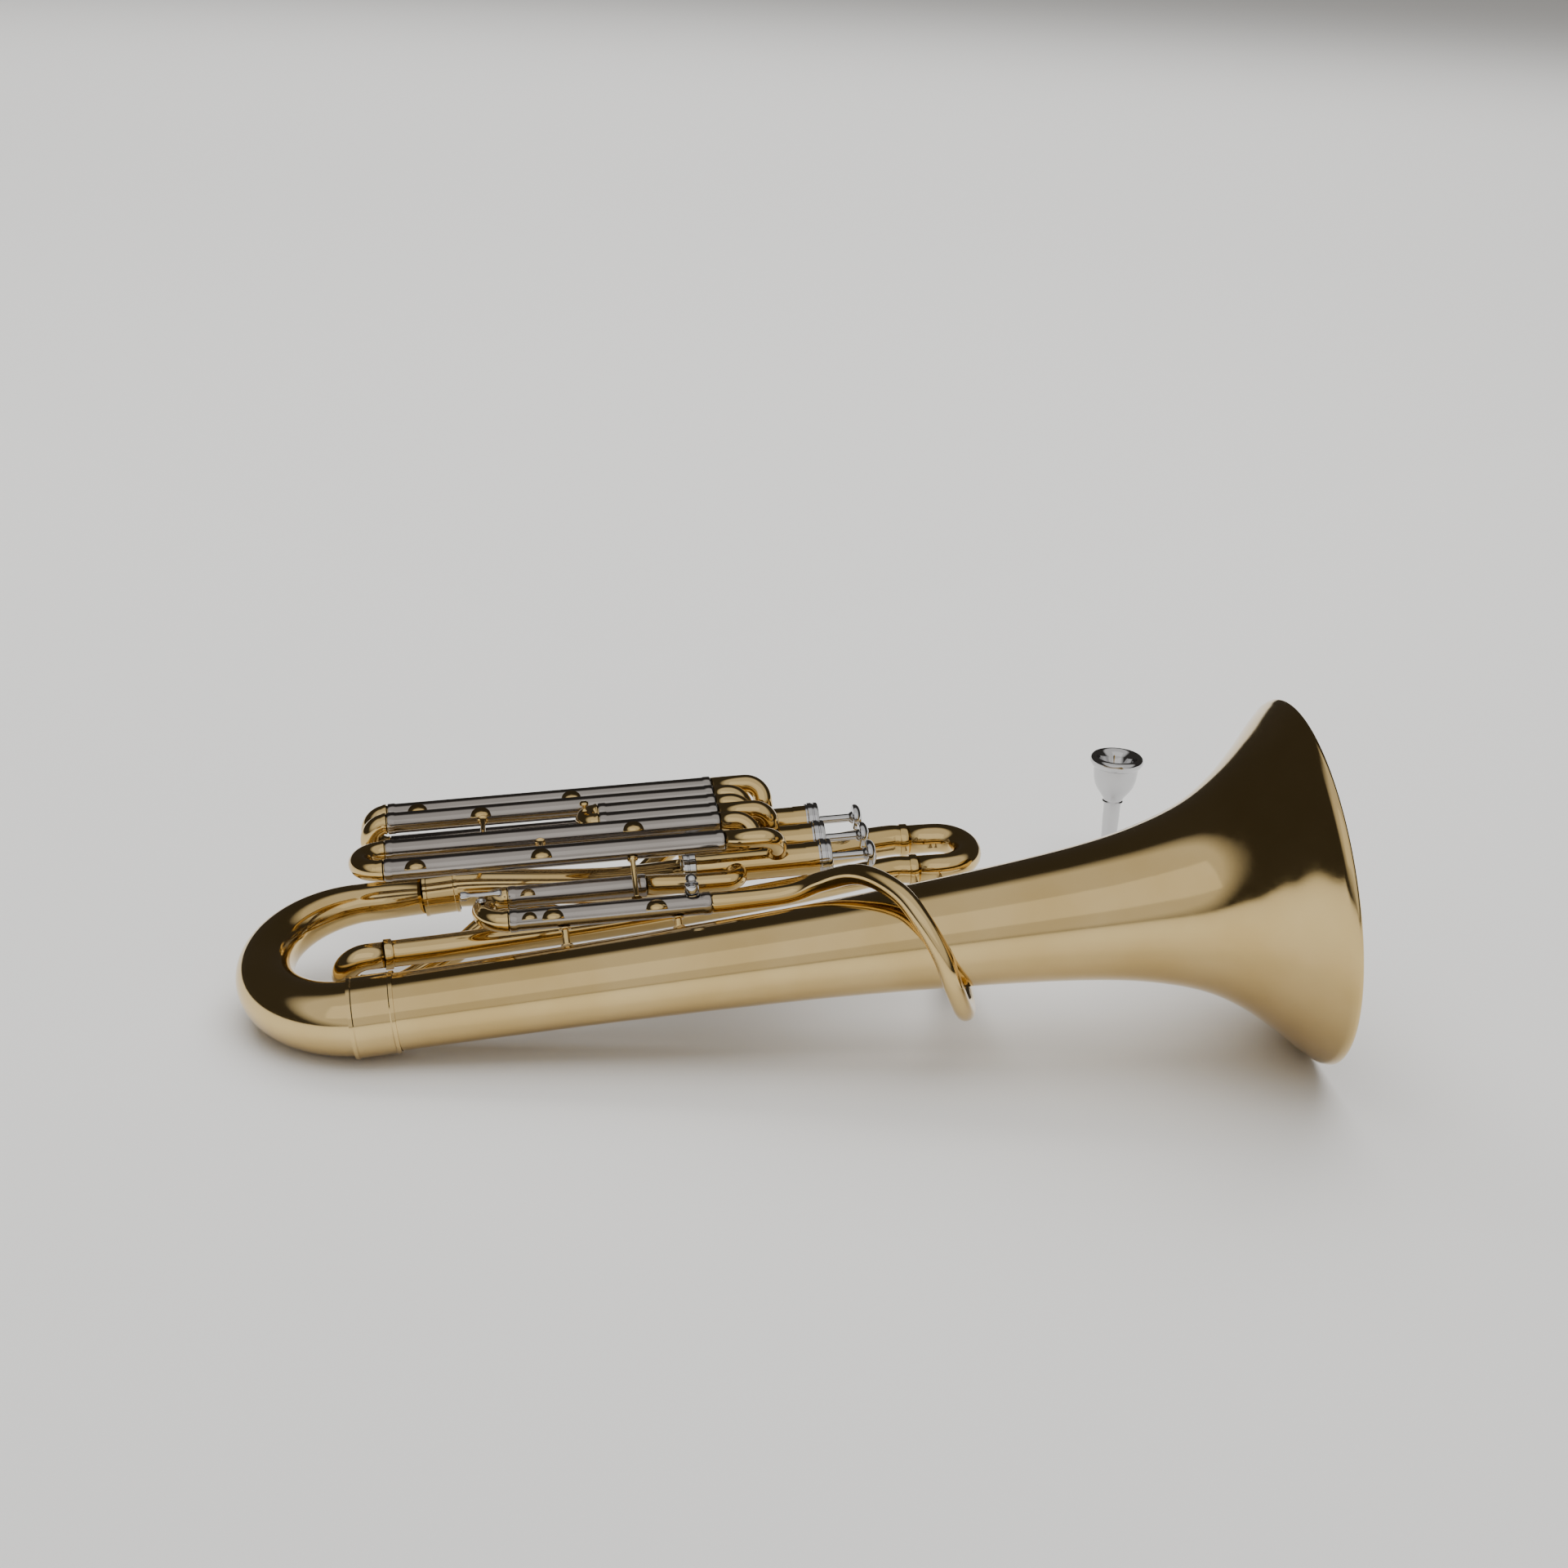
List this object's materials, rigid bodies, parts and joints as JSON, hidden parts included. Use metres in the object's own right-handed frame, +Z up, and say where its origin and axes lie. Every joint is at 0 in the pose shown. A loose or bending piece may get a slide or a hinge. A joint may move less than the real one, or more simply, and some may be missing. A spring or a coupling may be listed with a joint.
{
  "type": "baritone horn",
  "caption": "Brass baritone horn lying on its back, with piston valves, pull-out slides, a water key and a separate mouthpiece standing beside it.",
  "frame": {"origin": "centre of the underside of the box around everything, on the floor", "axes": "+X runs up the horn towards the bell mouth, +Y from the bell to the valves, +Z up"},
  "size_m": [0.6594, 0.4228, 0.2214],
  "materials": {
    "lacquered_brass": "polished, clear lacquer",
    "nickel_silver": "polished nickel",
    "spring_steel": "drawn wire"
  },
  "bodies": {
    "horn": {"bell": "lacquered_brass", "bell_brace_1": "lacquered_brass", "bell_brace_2": "lacquered_brass", "bell_ferrule": "lacquered_brass", "bottom_bow": "lacquered_brass", "bottom_cap_1": "nickel_silver", "bottom_cap_2": "nickel_silver", "bottom_cap_3": "nickel_silver", "bow_ferrule": "lacquered_brass", "first_branch": "lacquered_brass", "first_slide_brace": "lacquered_brass", "first_slide_sleeve_far": "nickel_silver", "first_slide_sleeve_near": "nickel_silver", "leadpipe": "lacquered_brass", "mouthpiece_receiver": "nickel_silver", "second_branch": "lacquered_brass", "second_slide_sleeve_far": "nickel_silver", "second_slide_sleeve_near": "nickel_silver", "slide_bank_brace": "lacquered_brass", "small_bow": "lacquered_brass", "third_branch": "lacquered_brass", "third_loop_return": "nickel_silver", "third_slide_sleeve_far": "nickel_silver", "third_slide_sleeve_near": "nickel_silver", "top_bow": "lacquered_brass", "top_cap_1": "nickel_silver", "top_cap_2": "nickel_silver", "top_cap_3": "nickel_silver", "tuning_brace": "lacquered_brass", "tuning_return": "lacquered_brass", "tuning_sleeve_far": "nickel_silver", "tuning_sleeve_near": "nickel_silver", "valve_1_elbow_a": "lacquered_brass", "valve_1_elbow_b": "lacquered_brass", "valve_2_elbow_a": "lacquered_brass", "valve_2_elbow_b": "lacquered_brass", "valve_3_elbow_a": "lacquered_brass", "valve_3_elbow_b": "lacquered_brass", "valve_casing_1": "lacquered_brass", "valve_casing_2": "lacquered_brass", "valve_casing_3": "lacquered_brass", "valve_knuckle_1": "lacquered_brass", "valve_knuckle_2": "lacquered_brass", "valve_spring_1": "spring_steel", "valve_spring_2": "spring_steel", "valve_spring_3": "spring_steel"},
    "valve_1": {"piston_1": "nickel_silver", "finger_button_1": "nickel_silver"},
    "valve_2": {"piston_2": "nickel_silver", "finger_button_2": "nickel_silver"},
    "valve_3": {"piston_3": "nickel_silver", "finger_button_3": "nickel_silver"},
    "tuning_slide": {"main_tuning_slide": "lacquered_brass", "water_key_saddle": "nickel_silver"},
    "water_key": {"water_key": "nickel_silver"},
    "first_slide": {"first_valve_slide": "lacquered_brass"},
    "second_slide": {"second_valve_slide": "lacquered_brass"},
    "third_slide_near": {"third_valve_slide_near": "lacquered_brass"},
    "third_slide_far": {"third_valve_slide_far": "lacquered_brass"},
    "mouthpiece": {"mouthpiece": "nickel_silver"}
  },
  "joints": [
    {"name": "valve_1_press", "type": "slide", "parent": "horn", "child": "valve_1", "axis": [-0.9955, 0, -0.0945], "range_m": [0, 0.013], "stiffness_N_per_m": 150, "springref_m": -0.01, "deforming": ["valve_spring_1"]},
    {"name": "valve_2_press", "type": "slide", "parent": "horn", "child": "valve_2", "axis": [-0.9955, 0, -0.0945], "range_m": [0, 0.013], "stiffness_N_per_m": 150, "springref_m": -0.01, "deforming": ["valve_spring_2"]},
    {"name": "valve_3_press", "type": "slide", "parent": "horn", "child": "valve_3", "axis": [-0.9955, 0, -0.0945], "range_m": [0, 0.013], "stiffness_N_per_m": 150, "springref_m": -0.01, "deforming": ["valve_spring_3"]},
    {"name": "tuning_slide_pull", "type": "slide", "parent": "horn", "child": "tuning_slide", "axis": [-0.9955, 0, -0.0945], "range_m": [0, 0.045]},
    {"name": "first_slide_pull", "type": "slide", "parent": "horn", "child": "first_slide", "axis": [-0.9955, 0, -0.0945], "range_m": [0, 0.06]},
    {"name": "second_slide_pull", "type": "slide", "parent": "horn", "child": "second_slide", "axis": [-0.9955, 0, -0.0945], "range_m": [0, 0.035]},
    {"name": "third_slide_near_pull", "type": "slide", "parent": "horn", "child": "third_slide_near", "axis": [-0.9955, 0, -0.0945], "range_m": [0, 0.06]},
    {"name": "third_slide_far_pull", "type": "slide", "parent": "horn", "child": "third_slide_far", "axis": [-0.9955, 0, -0.0945], "range_m": [0, 0.06]},
    {"name": "water_key_hinge", "type": "hinge", "parent": "tuning_slide", "child": "water_key", "pos_m": [-0.18273, -0.05742, 0.08509], "axis": [0, 1, 0], "range_deg": [0, 15], "stiffness_Nm_per_rad": 0.05, "springref_deg": -17.19},
    {"name": "mouthpiece_lift", "type": "slide", "parent": "horn", "child": "mouthpiece", "axis": [0, 0, 1], "range_m": [0, 0.12]}
  ]
}
